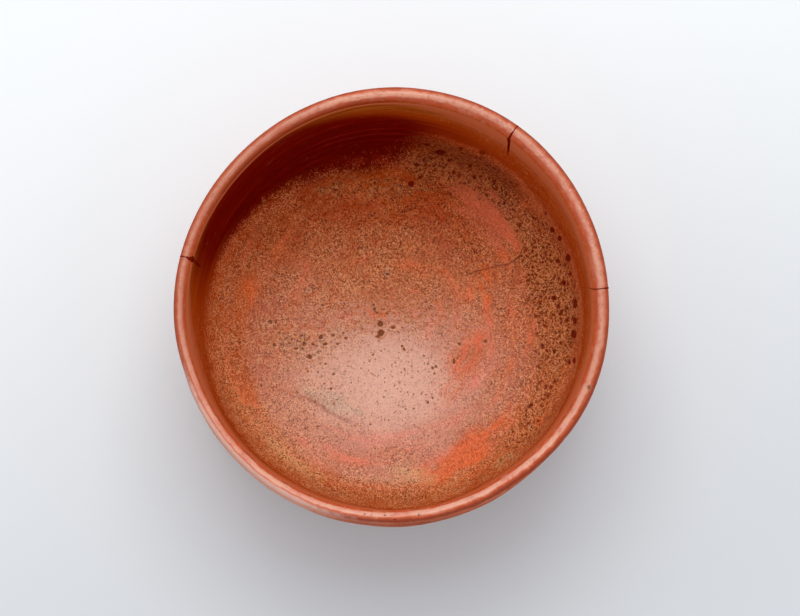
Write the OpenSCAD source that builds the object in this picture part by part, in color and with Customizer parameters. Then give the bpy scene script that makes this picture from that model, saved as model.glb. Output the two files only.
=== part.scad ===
// Hand-formed tea bowl: a red clay body, a soft glaze over it and three cracks filled with dark lacquer.
// The origin is on the table, in the middle of the standing ring. +Z is up and +X is to the right.

/* [Bowl] */
// Outside diameter of the glazed lip
lip_d = 119; // [100:1:140]
// Outside diameter of the glazed wall where it is fullest
belly_d = 121; // [104:1:144]
// Height of the lip above the table
bowl_h = 79; // [72:1:92]
// Height of the fullest part of the wall
belly_h = 42; // [36:1:48]
// Thickness of the glazed wall where it is fullest
wall = 5; // [4:0.2:7]
// Thickness of the glazed lip
lip_t = 3.2; // [2.6:0.2:4.6]

/* [Floor] */
// Thickness of the clay between the tea pool and the hollow of the foot
floor_t = 5.6; // [4:0.2:8]
// Diameter of the tea pool, the shallow dip in the middle of the floor
pool_d = 56; // [40:1:66]
// Depth of the tea pool
pool_depth = 1.2; // [0.4:0.2:2.4]
// Rise of the dished floor from its middle to the start of the wall, apart from the tea pool
floor_rise = 3; // [1:0.2:5]

/* [Foot] */
// Outside diameter of the standing ring
foot_d = 50; // [40:1:60]
// Height at which the foot turns out into the wall
foot_h = 7.4; // [6:0.2:10]
// Width of the standing ring
foot_w = 6.6; // [4:0.2:9]
// Depth of the hollow inside the standing ring
hollow = 6.4; // [5:0.2:8]
// Height of the peak that the carving leaves in the middle of the hollow
peak = 0.9; // [0.2:0.1:1.6]
// Chamfer on both edges of the standing ring
foot_bevel = 0.8; // [0.4:0.1:1.4]

/* [Glaze] */
// Thickness of the glaze
glaze = 0.6; // [0.4:0.1:1]
// Height of the bare band of clay at the bottom of the foot
bare = 2.2; // [1.6:0.2:4]

/* [Hand forming] */
// Rise and fall of the lip
lip_wave = 0.7; // [0:0.1:1.4]
// How far the bowl is out of round
oval = 0.4; // [0:0.1:1.2]
// Depth of the long paring marks on the outside
paring = 0.3; // [0:0.05:0.6]
// Extra thickness of the lip on the right
lip_swell = 2; // [0:0.1:2.4]
// How far the wall bulges to the front left
bulge = 0.5; // [0:0.1:1]

/* [Cracks] */
// Width of the lacquer line on the lip
crack_w = 0.9; // [0.6:0.1:1.4]
// Depth of the crack at the back right
back_crack = 24; // [10:1:28]
// Angle of the crack at the back right, from +X towards +Y
back_crack_at = 55; // [40:1:70]
// How far the crack at the back right wanders to the side
back_wander = 1.9; // [0:0.1:3]
// Depth of the crack on the left
left_crack = 22; // [10:1:28]
// Angle of the crack on the left
left_crack_at = 166.5; // [150:0.5:180]
// How far the crack on the left wanders to the side
left_wander = 2; // [0:0.1:3]
// Depth of the crack on the right
right_crack = 16; // [10:1:28]
// Angle of the crack on the right
right_crack_at = 5; // [-10:1:20]
// How far the crack on the right wanders to the side
right_wander = 0.8; // [0:0.1:3]

/* [Hidden] */

clay_red = [0.66, 0.36, 0.24];
glaze_red = [0.74, 0.33, 0.19];
glaze_dark = [0.62, 0.27, 0.16];
lacquer_brown = [0.16, 0.06, 0.04];

// Stations round the bowl, and steps along each curve of the section
stations = 48;
floor_steps = 4;
hip_steps = 7;
side_steps = 4;
lip_steps = 5;
hollow_steps = 5;

// Section sizes that follow from the driving ones
lip_r = lip_d / 2;
lip_mid = lip_r - lip_t / 2;
lip_crown = 0.7 * lip_t;
lip_z = bowl_h - lip_crown;
belly_r = belly_d / 2;
foot_r = foot_d / 2;
ring_r = foot_r - foot_w;
floor_z = hollow + floor_t + glaze;
pool_r = pool_d / 2;
pool_z = floor_z + pool_depth;
floor_r = (pool_r + belly_r - wall) / 2;
hip_z = pool_z + floor_rise;
foot_flare = 1.2;
hollow_round = hollow - bare;
hollow_r = ring_r - foot_bevel - hollow_round;

// Handles of the curves, as shares of the stretch that each one spans
hip_handle = 0.95;
hip_lift = 0.08;
rise_handle = 0.75;
lean_handle = 0.4;

// A point on a cubic curve, and the points that follow the first one along it
function cubic(p, t) =
    (1 - t) ^ 3 * p[0] + 3 * t * (1 - t) ^ 2 * p[1] + 3 * t ^ 2 * (1 - t) * p[2] + t ^ 3 * p[3];
function along(p, steps) = [for (i = [1:steps]) cubic(p, i / steps)];
function backwards(list) = [for (i = [len(list) - 1:-1:0]) list[i]];

// A curve that leaves a flat floor at p and stands upright at q
function hip(p, q) = [
    p,
    p + [hip_handle * (q[0] - p[0]), hip_lift * (q[1] - p[1])],
    q - [0, rise_handle * (q[1] - p[1])],
    q
];

// A curve that is upright at p and leans evenly into q
function side(p, q) = [
    p,
    p + [0, lean_handle * (q[1] - p[1])],
    q - lean_handle * [(q[0] - p[0]) / 2, q[1] - p[1]],
    q
];

// The glazed surface in section, from the axis over the floor, the lip and the wall to the bare band.
// Each point is [radius, height, share of the outside].
inner_belly = [belly_r - wall, belly_h];
outer_belly = [belly_r, belly_h];
inner_lip = [lip_r - lip_t, lip_z];
outer_lip = [lip_r, lip_z];
foot_turn = [foot_r + glaze + foot_flare, foot_h];
foot_edge = [foot_r + glaze, bare];

function dish(r) = floor_rise * (r / floor_r) ^ 2;
inside = concat(
    [for (i = [0:floor_steps])
        let (t = i / floor_steps, r = pool_r * t)
        [r, floor_z + pool_depth * (1 - cos(180 * t)) / 2 + dish(r)]],
    [for (r = [(pool_r + floor_r) / 2, floor_r]) [r, pool_z + dish(r)]],
    along(hip([floor_r, hip_z], inner_belly), hip_steps),
    along(side(inner_belly, inner_lip), side_steps)
);
crown = [
    for (i = [1:lip_steps - 1])
        let (t = 180 * i / lip_steps)
        [lip_mid - lip_t / 2 * cos(t), lip_z + lip_crown * sin(t), i / lip_steps]
];
outside = backwards(concat(
    [foot_edge, (foot_edge + foot_turn) / 2, foot_turn],
    along(hip(foot_turn, outer_belly), hip_steps),
    along(side(outer_belly, outer_lip), side_steps)
));
glazed = concat(
    [for (p = inside) [p[0], p[1], 0]],
    crown,
    [for (p = outside) [p[0], p[1], 1]]
);

// The clay under the glaze of the foot's hollow, from the bare band to the axis
lining = concat(
    [for (i = [0:hollow_steps])
        let (t = 90 * i / hollow_steps)
        [hollow_r + hollow_round * cos(t), bare + hollow_round * sin(t), 1]],
    [for (i = [1:hollow_steps])
        let (t = i / hollow_steps)
        [hollow_r * (1 - t), hollow - peak * (1 - cos(180 * t)) / 2, 1]]
);

// The same section moved by d towards the air, which lies on the left of the direction of travel
function unit(v) = v / norm(v);
function shifted(path, d) = [
    for (i = [0:len(path) - 1])
        let (
            p = path[i],
            before = path[max(i - 1, 0)],
            after = path[min(i + 1, len(path) - 1)],
            t = unit([after[0] - before[0], after[1] - before[1]]),
            on_axis = p[0] == 0
        )
        on_axis
            ? [0, p[1] + d * sign(t[0]), p[2]]
            : [p[0] - d * t[1], p[1] + d * t[0], p[2]]
];

// The clay under the glaze, and the bare standing ring
clay_top = shifted(glazed, -glaze);
standing_ring = [
    [foot_r, foot_bevel, 1],
    [foot_r - foot_bevel, 0, 1],
    [ring_r, 0, 1],
    [ring_r - foot_bevel, foot_bevel, 1]
];

// Where a section point lies at an angle, with the unevenness that the hands leave
oval_at = 80;
bulge_at = 225;
swell_at = -15;
paring_count = 7;
function lip_rise(a) = cos(2 * a - 40) / 2 + cos(5 * a + 25) / 2;
function placed(p, a) =
    let (
        up = p[1] / bowl_h,
        spread = p[0] / lip_r,
        round_off = oval * up * cos(2 * (a - oval_at)),
        lean = bulge * sin(180 * up) * cos(a - bulge_at),
        swell = (1 - p[2]) * lip_swell * up ^ 4 * (1 + cos(a - swell_at)) / 2,
        pared = p[2] * paring * sin(180 * up) * cos(paring_count * a + 90 * up),
        r = p[0] + spread * (round_off + lean - swell + pared)
    )
    [r * cos(a), r * sin(a), p[1] + lip_wave * up ^ 4 * lip_rise(a)];

// A solid whose section starts and ends on the axis. Both halves of a shared surface are split alike
// into triangles when one of them runs backwards and sets flip.
module turned(section, flip = false) {
    rings = len(section) - 2;
    last = rings * stations + 1;
    points = concat(
        [placed(section[0], 0)],
        [for (i = [1:rings], j = [0:stations - 1]) placed(section[i], 360 * j / stations)],
        [placed(section[rings + 1], 0)]
    );
    function at(i, j) = 1 + i * stations + j % stations;
    caps = [
        for (j = [0:stations - 1])
            each [[0, at(0, j + 1), at(0, j)], [last, at(rings - 1, j), at(rings - 1, j + 1)]]
    ];
    bands = [
        for (i = [0:rings - 2], j = [0:stations - 1])
            each flip
                ? [[at(i, j), at(i, j + 1), at(i + 1, j)], [at(i, j + 1), at(i + 1, j + 1), at(i + 1, j)]]
                : [[at(i, j), at(i, j + 1), at(i + 1, j + 1)], [at(i, j), at(i + 1, j + 1), at(i + 1, j)]]
    ];
    polyhedron(points, concat(caps, bands));
}

// A crack as a thin jagged blade through the wall. It narrows to its tip and wanders sideways by drift.
drift_shares = [0, 0.7, 0.2, 1];
blade_levels = len(drift_shares);
blade_reach = 3;
tip_w = 0.12;
jag = 0.35;
module crack(angle, depth, drift) {
    r_in = lip_r - lip_t - lip_swell - blade_reach;
    r_out = belly_r + bulge + blade_reach;
    legs = [[r_in, -jag], [lip_mid, jag], [r_out, -jag]];
    top = bowl_h + lip_wave + blade_reach;
    size = 2 * len(legs);
    points = [
        for (k = [0:blade_levels - 1])
            let (
                t = k / (blade_levels - 1),
                half = (crack_w + (tip_w - crack_w) * t) / 2,
                z = top - (depth + top - bowl_h) * t,
                v = drift * drift_shares[k]
            )
            each concat(
                [for (leg = legs) [leg[0], leg[1] + v - half, z]],
                [for (leg = backwards(legs)) [leg[0], leg[1] + v + half, z]]
            )
    ];
    sides = [
        for (k = [0:blade_levels - 2], j = [0:size - 1])
            let (a = k * size, b = a + size, n = (j + 1) % size)
            each [[a + j, a + n, b + n], [a + j, b + n, b + j]]
    ];
    end = (blade_levels - 1) * size;
    lids = [
        for (j = [0:len(legs) - 2], f = [[j, size - 1 - j, j + 1], [j + 1, size - 1 - j, size - 2 - j]])
            each [f, [end + f[0], end + f[2], end + f[1]]]
    ];
    rotate([0, 0, angle]) polyhedron(points, concat(sides, lids));
}

module crack_back_right() crack(back_crack_at, back_crack, -back_wander);
module crack_left() crack(left_crack_at, left_crack, left_wander);
module crack_right() crack(right_crack_at, right_crack, right_wander);
module cracks() {
    crack_back_right();
    crack_left();
    crack_right();
}

// Lacquer fills a crack flush with the glaze inside and outside. The wall that bounds it stands on a plain disc.
module lacquer() {
    wall_only = [for (p = glazed) if (p[0] >= floor_r && p[1] >= hip_z) p];
    color(lacquer_brown)
        intersection() {
            turned(concat([[0, hip_z, 0]], wall_only, [[0, foot_h, 1]]), flip = true);
            children();
        }
}

module clay_body() {
    color(clay_red)
        difference() {
            turned(concat(clay_top, standing_ring, lining));
            cracks();
        }
}

module glaze_coat() {
    color(glaze_red)
        difference() {
            turned(concat(glazed, backwards(clay_top)), flip = true);
            cracks();
        }
}

module foot_glaze() {
    color(glaze_dark)
        turned(concat(backwards(lining), shifted(lining, glaze)), flip = true);
}

module lacquer_back_right() lacquer() crack_back_right();

module lacquer_left() lacquer() crack_left();

module lacquer_right() lacquer() crack_right();

clay_body();
glaze_coat();
foot_glaze();
lacquer_back_right();
lacquer_left();
lacquer_right();
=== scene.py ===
import math

import bpy
import numpy as np
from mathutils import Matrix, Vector, noise
from mathutils.bvhtree import BVHTree


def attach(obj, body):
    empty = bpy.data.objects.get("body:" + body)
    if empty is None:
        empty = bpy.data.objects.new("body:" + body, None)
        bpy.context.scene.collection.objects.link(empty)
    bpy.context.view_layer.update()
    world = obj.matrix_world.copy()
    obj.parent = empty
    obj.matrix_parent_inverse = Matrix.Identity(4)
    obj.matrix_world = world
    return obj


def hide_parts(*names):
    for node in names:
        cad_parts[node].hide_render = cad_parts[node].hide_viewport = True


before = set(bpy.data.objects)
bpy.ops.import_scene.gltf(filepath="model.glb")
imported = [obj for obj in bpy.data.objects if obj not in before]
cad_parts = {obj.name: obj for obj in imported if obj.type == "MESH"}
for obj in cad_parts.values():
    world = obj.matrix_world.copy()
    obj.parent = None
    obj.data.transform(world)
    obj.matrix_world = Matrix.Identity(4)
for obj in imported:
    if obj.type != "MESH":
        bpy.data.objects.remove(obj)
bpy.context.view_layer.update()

# A hand-formed tea bowl of red clay with a soft, foamy glaze and three cracks filled with dark lacquer.
# Lengths are in millimetres and angles in degrees, until a mesh is made.
MM = 0.001
TINY = 1e-9
# How far apart the noises of two seeds lie
SEED_STEP = (17.3, -9.1, 5.7)

# Sizes of the bowl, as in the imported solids
LIP_D = 119
BELLY_D = 121
BOWL_H = 79
BELLY_H = 42
WALL = 5
LIP_T = 3.2
FLOOR_T = 5.6
POOL_D = 56
POOL_DEPTH = 1.2
FLOOR_RISE = 3
FOOT_D = 50
FOOT_H = 7.4
FOOT_W = 6.6
HOLLOW = 6.4
PEAK = 0.9
FOOT_BEVEL = 0.8
GLAZE = 0.6
BARE = 2.2
LIP_WAVE = 0.7
OVAL = 0.4
PARING = 0.3
LIP_SWELL = 1.6
BULGE = 0.5

# Sizes that follow from them
LIP_R = LIP_D / 2
LIP_MID = LIP_R - LIP_T / 2
LIP_CROWN = 0.7 * LIP_T
LIP_Z = BOWL_H - LIP_CROWN
BELLY_R = BELLY_D / 2
FOOT_R = FOOT_D / 2
RING_R = FOOT_R - FOOT_W
FLOOR_Z = HOLLOW + FLOOR_T + GLAZE
POOL_R = POOL_D / 2
POOL_Z = FLOOR_Z + POOL_DEPTH
FLOOR_R = (POOL_R + BELLY_R - WALL) / 2
HIP_Z = POOL_Z + FLOOR_RISE
FOOT_FLARE = 1.2
HOLLOW_ROUND = HOLLOW - BARE
HOLLOW_R = RING_R - FOOT_BEVEL - HOLLOW_ROUND

# Stations round the bowl, and steps along each stretch of the section
STATIONS = 400
POOL_STEPS = 60
FLOOR_STEPS = 27
HIP_STEPS = 52
SIDE_STEPS = 42
LIP_STEPS = 18
SEAM_STEPS = 10
OUTER_SIDE_STEPS = 36
OUTER_HIP_STEPS = 84
FOOT_STEPS = 10
RING_STEPS = 14
LINING_BEND_STEPS = 12
LINING_FLAT_STEPS = 28
SOLE_STRIDE = 4
BACK_STRIDE = 8

# The camera stands in front of the bowl and looks down into it
IMAGE_W = 800
IMAGE_H = 616
PX_PER_MM = 3.68
CAMERA_DISTANCE = 650
CAMERA_ELEVATION = 83.8
SENSOR = 36
FOCAL_PX = PX_PER_MM * CAMERA_DISTANCE
RIM_PIXEL = (391.7, 302)
FLOOR_PX_PER_MM = 3.345


def cos(a):
    return np.cos(np.radians(a))


def sin(a):
    return np.sin(np.radians(a))


def fade(value, start, end):
    """0 before start and 1 after end, with a smooth rise between them."""
    t = np.clip((value - start) / (end - start), 0, 1)
    return t * t * (3 - 2 * t)


def between(value, start, full, last, end):
    """Rises from start to full, and falls from last to end."""
    return fade(value, start, full) * fade(value, end, last)


def apart(angles, middle):
    """Angle between each of several directions and a middle one."""
    return np.abs((angles - middle + 180) % 360 - 180)


def unit(vectors):
    return vectors / np.maximum(np.linalg.norm(vectors, axis=-1, keepdims=True), TINY)


def rough(points, size, octaves=3, seed=0):
    """Noise from about -1 to 1 at each point, with features of the given size."""
    flat = np.asarray(points, float).reshape(-1, 3) / size + seed * np.array(SEED_STEP)
    values = [noise.fractal(Vector(p), 1.0, 2.0, octaves) for p in flat]
    return np.reshape(values, np.shape(points)[:-1])


# Section of the bowl

# How far the curves of the wall run on along their ends, as shares of their width and height
HIP_REACH = 0.95
HIP_LIFT = 0.08
HIP_STAND = 0.75
SIDE_STAND = 0.4
SIDE_LEAN = 0.2


def cubic(corners, steps):
    p = np.asarray(corners, float)
    t = np.linspace(0, 1, steps + 1)[:, None]
    return (1 - t) ** 3 * p[0] + 3 * t * (1 - t) ** 2 * p[1] + 3 * t ** 2 * (1 - t) * p[2] + t ** 3 * p[3]


def hip(p, q, steps):
    """A curve that leaves a flat floor at p and stands upright at q."""
    p, q = np.array(p), np.array(q)
    run, rise = q - p
    return cubic([p, p + (HIP_REACH * run, HIP_LIFT * rise), q - (0, HIP_STAND * rise), q], steps)


def side(p, q, steps):
    """A curve that is upright at p and leans evenly into q."""
    p, q = np.array(p), np.array(q)
    run, rise = q - p
    return cubic([p, p + (0, SIDE_STAND * rise), q - (SIDE_LEAN * run, SIDE_STAND * rise), q], steps)


def with_share(points, share):
    """Adds to each section point how far it belongs to the outside, from 0 to 1."""
    points = np.asarray(points, float)
    return np.column_stack([points, np.broadcast_to(share, len(points))])


def inside_section():
    """From the axis over the floor and up the wall to the inner edge of the lip."""
    r = np.append(np.linspace(0, POOL_R, POOL_STEPS), np.linspace(POOL_R, FLOOR_R, FLOOR_STEPS)[1:])
    dip = POOL_DEPTH * (1 - cos(180 * np.minimum(r / POOL_R, 1))) / 2
    floor = np.column_stack([r, FLOOR_Z + dip + FLOOR_RISE * (r / FLOOR_R) ** 2])
    belly = (BELLY_R - WALL, BELLY_H)
    rise = hip((FLOOR_R, HIP_Z), belly, HIP_STEPS)
    upright = side(belly, (LIP_R - LIP_T, LIP_Z), SIDE_STEPS)
    return with_share(np.vstack([floor, rise[1:], upright[1:]]), 0)


def crown_section():
    """Over the lip, between its two edges."""
    share = np.arange(1, LIP_STEPS) / LIP_STEPS
    r = LIP_MID - LIP_T / 2 * cos(180 * share)
    z = LIP_Z + LIP_CROWN * sin(180 * share ** LIP_LEAN)
    return with_share(np.column_stack([r, z]), share)


def outside_section():
    """From the outer edge of the lip down the wall to the glaze's edge on the foot."""
    edge = np.array([FOOT_R + GLAZE, BARE])
    turn = np.array([FOOT_R + GLAZE + FOOT_FLARE, FOOT_H])
    foot = edge + (turn - edge) * np.linspace(0, 1, FOOT_STEPS + 1)[:, None]
    belly = (BELLY_R, BELLY_H)
    rise = hip(turn, belly, OUTER_HIP_STEPS)
    upright = side(belly, (LIP_R, LIP_Z), OUTER_SIDE_STEPS)
    return with_share(np.vstack([foot, rise[1:], upright[1:]])[::-1], 1)


def shifted(section, distance):
    """The section moved towards the air, which lies on the left of the direction of travel."""
    travel = np.gradient(section[:, :2], axis=0)
    travel /= np.linalg.norm(travel, axis=1)[:, None]
    moved = section.copy()
    moved[:, 0] -= distance * travel[:, 1]
    moved[:, 1] += distance * travel[:, 0]
    moved[section[:, 0] == 0, 0] = 0
    return moved


def lining_section():
    """The clay of the foot's hollow, from the bare band to the axis."""
    t = np.linspace(0, 90, LINING_BEND_STEPS + 1)
    bend = np.column_stack([HOLLOW_R + HOLLOW_ROUND * cos(t), BARE + HOLLOW_ROUND * sin(t)])
    t = np.linspace(0, 1, LINING_FLAT_STEPS + 1)[1:]
    flat = np.column_stack([HOLLOW_R * (1 - t), HOLLOW - PEAK * (1 - cos(180 * t)) / 2])
    flat[-1, 0] = 0
    return with_share(np.vstack([bend, flat]), 1)


def whole_section():
    return np.vstack([inside_section(), crown_section(), outside_section()])


# Unevenness that the hands leave, shared by every piece
OVAL_AT = 80
BULGE_AT = 225
SWELL_AT = 40
LIP_LEAN = 1.12
PARING_COUNT = 7
PARED_ALONG = (0.22, 0.22, 1)
LIP_WAVER = 0.2
WAVERS_PER_RADIAN = 2.6
# Waves of the lip's height: count, angle of a crest
LIP_WAVES = [(2, 40), (5, -25)]
# How quickly the lip's own unevenness and its pushes die out below it
LIP_POWER = 4
PUSH_POWER = 3
# Where the lip and the belly were pushed in or out: angle, half angle, offset
LIP_PUSHES = [(55, 28, 0.4), (132, 36, -0.75), (182, 26, 0.35), (333, 34, 0.9)]
BELLY_PUSHES = [(252, 36, -1.1), (300, 34, -1.0)]


def pushed(angles, pushes):
    """Sum of several soft pushes at each angle."""
    return sum(offset * fade(apart(angles, at), half, 0) for at, half, offset in pushes)


def placed(section, angles):
    """Where each section point lies at each angle, as a grid of rows and stations."""
    r, z, share = (column[:, None] for column in np.asarray(section, float).T)
    a = np.asarray(angles, float)[None, :]
    up = z / BOWL_H
    lip_only = up ** LIP_POWER
    round_off = OVAL * up * cos(2 * (a - OVAL_AT))
    lean = BULGE * sin(180 * up) * cos(a - BULGE_AT)
    swell = (1 - share) * LIP_SWELL * lip_only * (1 + cos(a - SWELL_AT)) / 2
    pared = share * PARING * sin(180 * up) * cos(PARING_COUNT * a + 90 * up)
    ring = np.stack([cos(a[0]), sin(a[0]), 0 * a[0]], axis=1) * WAVERS_PER_RADIAN
    waver = LIP_WAVER * lip_only * rough(ring, 1, 2, seed=3)
    lift = LIP_WAVER * lip_only * rough(ring, 1, 2, seed=4)
    pushes = up ** PUSH_POWER * pushed(a, LIP_PUSHES) + sin(180 * up) ** 2 * pushed(a, BELLY_PUSHES)
    r = r + r / LIP_R * (round_off + lean - swell + pared + waver + pushes)
    waves = sum(cos(count * a - at) for count, at in LIP_WAVES) / len(LIP_WAVES)
    z = z + LIP_WAVE * lip_only * waves + lift
    return np.stack([r * cos(a), r * sin(a), z + 0 * r], axis=2)


def layered(points, layers):
    """Sum of several noises: depth, size, octaves, seed."""
    return sum(depth * rough(points, size, octaves, seed) for depth, size, octaves, seed in layers)


def raised(grid, heights):
    """A grid of rows and stations, moved towards the air."""
    along = np.gradient(grid, axis=0)
    around = np.roll(grid, -1, axis=1) - np.roll(grid, 1, axis=1)
    return grid + unit(np.cross(along, around)) * heights.reshape(*grid.shape[:2], 1)


# Meshes

def net(count, stations, last):
    """Corners of the faces between rings of points, as far as the last ring."""
    i = np.arange(last)[:, None]
    j = np.arange(stations)
    after = (j + 1) % stations
    below = (i + 1) % count
    corners = [i * stations + j, i * stations + after, below * stations + after, below * stations + j]
    return np.stack(corners, axis=2).reshape(-1, 4)


def turned_mesh(name, rows, material, poles=None, fields=None, sharp_rows=()):
    """A closed mesh from rings of points. Between two poles it is a ball, and without them it is a ring."""
    count, stations = rows.shape[:2]
    points = rows.reshape(-1, 3)
    j = np.arange(stations)
    after = (j + 1) % stations
    quads = net(count, stations, count - 1 if poles is not None else count)
    faces = quads.tolist()
    if poles is not None:
        top, bottom = len(points), len(points) + 1
        points = np.vstack([points, poles])
        end = (count - 1) * stations
        faces += [[top, a, b] for a, b in zip(after, j)]
        faces += [[bottom, end + a, end + b] for a, b in zip(j, after)]
    if signed_volume(points, quads) < 0:
        faces = [face[::-1] for face in faces]
    mesh = bpy.data.meshes.new(name)
    mesh.from_pydata((points * MM).tolist(), [], faces)
    mesh.polygons.foreach_set("use_smooth", [True] * len(faces))
    mark_sharp(mesh, [row * stations for row in sharp_rows], stations)
    for field, values in (fields or {}).items():
        padded = np.zeros(len(points), np.float32)
        padded[:values.size] = values.ravel()
        mesh.attributes.new(field, "FLOAT", "POINT").data.foreach_set("value", padded)
    mesh.materials.append(material)
    piece = bpy.data.objects.new(name, mesh)
    bpy.context.scene.collection.objects.link(piece)
    return piece


def signed_volume(points, quads):
    a, b, c, d = (points[quads[:, k]] for k in range(4))
    return (np.cross(a, b) * c).sum() + (np.cross(a, c) * d).sum()


def mark_sharp(mesh, starts, stations):
    """Keeps the smooth shading from running over the edges of the given rows."""
    ends = np.empty(2 * len(mesh.edges), np.int64)
    mesh.edges.foreach_get("vertices", ends)
    ends = ends.reshape(-1, 2)
    sharp = np.zeros(len(ends), bool)
    for start in starts:
        sharp |= ((ends >= start) & (ends < start + stations)).all(axis=1)
    mesh.attributes.new("sharp_edge", "BOOLEAN", "EDGE").data.foreach_set("value", sharp)


def dress(piece, slot, *nodes):
    """Hangs a piece on the bowl's only body, in place of the solids that it stands for."""
    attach(piece, "root")
    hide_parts(*nodes)


# Shaders

def srgb(red, green, blue):
    """A colour as a picture shows it, from 0 to 255, for a shader."""
    share = np.array([red, green, blue]) / 255
    linear = np.where(share <= 0.04045, share / 12.92, ((share + 0.055) / 1.055) ** 2.4)
    return (*linear, 1)


SPECULAR = 0.5
COAT_ROUGHNESS = 0.21
COAT_IOR = 1.75


class Nodes:
    """A node tree whose nodes are added and linked by short calls."""

    def __init__(self, tree):
        self.tree = tree

    def node(self, kind, inputs=None, **settings):
        made = self.tree.nodes.new("ShaderNode" + kind)
        for key, value in settings.items():
            setattr(made, key, value)
        for key, value in (inputs or {}).items():
            self.feed(made.inputs[key], value)
        return made

    def feed(self, socket, value):
        if isinstance(value, bpy.types.NodeSocket):
            self.tree.links.new(value, socket)
        else:
            socket.default_value = value

    def math(self, operation, a, b=0.0, clamp=False):
        return self.node("Math", {0: a, 1: b}, operation=operation, use_clamp=clamp).outputs[0]

    def total(self, *values):
        result = values[0]
        for value in values[1:]:
            result = self.math("ADD", result, value)
        return result

    def times(self, *values):
        result = values[0]
        for value in values[1:]:
            result = self.math("MULTIPLY", result, value)
        return result

    def fade(self, value, start, end, low=0.0, high=1.0):
        """low before start and high after end, with a smooth change between them."""
        ends = {"From Min": start, "From Max": end, "To Min": low, "To Max": high}
        made = self.node("MapRange", {"Value": value, **ends}, interpolation_type="SMOOTHSTEP")
        return made.outputs["Result"]

    def weighed(self, name, *values):
        """Values times the weights that a look gives them."""
        pairs = zip(values, WEIGHTS.get(name, (1,)))
        return [value if weight == 1 else self.times(value, weight) for value, weight in pairs]

    def summed(self, name, *values):
        return self.total(*self.weighed(name, *values))

    def ranged(self, name, *values):
        """A value, or the weighed sum of several, brought into one of the ranges of the looks."""
        return self.fade(self.summed(name, *values), *RANGES[name])

    def largest(self, *values):
        result = values[0]
        for value in values[1:]:
            result = self.math("MAXIMUM", result, value)
        return result

    def centred(self, value):
        return self.math("SUBTRACT", value, 0.5)

    def inverse(self, value):
        return self.math("SUBTRACT", 1.0, value)

    def blend(self, share, a, b):
        return self.node("Mix", {0: share, 2: a, 3: b}).outputs[0]


class Shader(Nodes):
    """A material. Sizes are in millimetres."""

    def __init__(self, name):
        self.material = bpy.data.materials.new(name)
        self.material.use_nodes = True
        super().__init__(self.material.node_tree)
        self.surface = self.tree.nodes["Principled BSDF"]
        self.place = self.node("TexCoord").outputs["Object"]

    def axes(self):
        return self.node("SeparateXYZ", {0: self.place}).outputs

    def stretched(self, shares):
        """Object space drawn out along its axes."""
        return self.node("VectorMath", {0: self.place, 1: shares}, operation="MULTIPLY").outputs[0]

    def mix(self, amount, a, b):
        """One colour over another. A colour is the result of a node, or red, green and blue."""
        a, b = (srgb(*colour) if isinstance(colour, tuple) else colour for colour in (a, b))
        return self.node("Mix", {0: amount, 6: a, 7: b}, data_type="RGBA", blend_type="MIX").outputs[2]

    def lay(self, colour, amount, tint):
        """Lays a tint over a colour. A tint ends with its strength and its colour."""
        strength, over = tint[-2:]
        return self.mix(self.times(amount, strength), colour, over)

    def wash(self, colour, value, tint):
        """Lays a tint over a colour where a value is in the tint's range: start, end, strength, colour."""
        start, end, strength, over = tint
        return self.mix(self.fade(value, start, end, 0, strength), colour, over)

    def field(self, name):
        return self.node("Attribute", attribute_name=name).outputs["Fac"]

    def noise(self, size, detail=2.0, roughness=0.5, place=None, output="Fac"):
        inputs = {"Vector": place or self.place, "Scale": 1 / (size * MM)}
        inputs.update({"Detail": detail, "Roughness": roughness})
        return self.node("TexNoise", inputs).outputs[output]

    def cells(self, size, place=None, feature="F1"):
        """Distance in cells and a random colour per cell of an irregular net."""
        inputs = {"Vector": place or self.place, "Scale": 1 / (size * MM)}
        made = self.node("TexVoronoi", inputs, feature=feature)
        if feature == "DISTANCE_TO_EDGE":
            return made.outputs["Distance"]
        parts = self.node("SeparateColor", {"Color": made.outputs["Color"]})
        return made.outputs["Distance"], parts.outputs[0], parts.outputs[1]

    def wobbled(self, size, reach):
        """Object space pushed about by noise, so that edges come out irregular."""
        push = {0: self.noise(size, output="Color"), 1: (0.5, 0.5, 0.5)}
        push = self.node("VectorMath", push, operation="SUBTRACT").outputs[0]
        push = self.node("VectorMath", {0: push, "Scale": 2 * reach * MM}, operation="SCALE").outputs[0]
        return self.node("VectorMath", {0: self.place, 1: push}, operation="ADD").outputs[0]

    def coat(self, weight):
        """Adds a thin glossy coat over the surface."""
        self.feed(self.surface.inputs["Coat Weight"], weight)
        self.surface.inputs["Coat Roughness"].default_value = COAT_ROUGHNESS
        self.surface.inputs["Coat IOR"].default_value = COAT_IOR
        return self

    def finish(self, colour, roughness, height, relief, specular=SPECULAR):
        """Feeds the surface. height runs from about 0 to 1, and relief is its size."""
        self.feed(self.surface.inputs["Base Color"], colour)
        self.feed(self.surface.inputs["Roughness"], roughness)
        self.surface.inputs["Specular IOR Level"].default_value = specular
        bump = self.node("Bump", {"Height": height, "Distance": relief * MM, "Strength": 1.0})
        self.feed(self.surface.inputs["Normal"], bump.outputs["Normal"])
        return self.material


# Camera

def set_camera():
    elevation = math.radians(CAMERA_ELEVATION)
    aim = Vector((
        (IMAGE_W / 2 - RIM_PIXEL[0]) / PX_PER_MM,
        (RIM_PIXEL[1] - IMAGE_H / 2) / PX_PER_MM,
        BOWL_H,
    ))
    place = aim + CAMERA_DISTANCE * Vector((0, -math.cos(elevation), math.sin(elevation)))
    data = bpy.data.cameras.new("camera")
    data.sensor_width = SENSOR
    data.lens = FOCAL_PX / IMAGE_W * SENSOR
    camera = bpy.data.objects.new("camera", data)
    camera.location = place * MM
    camera.rotation_euler = (math.radians(90 - CAMERA_ELEVATION), 0, 0)
    bpy.context.scene.collection.objects.link(camera)
    bpy.context.scene.camera = camera
    return place, camera.rotation_euler.to_matrix()


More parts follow.
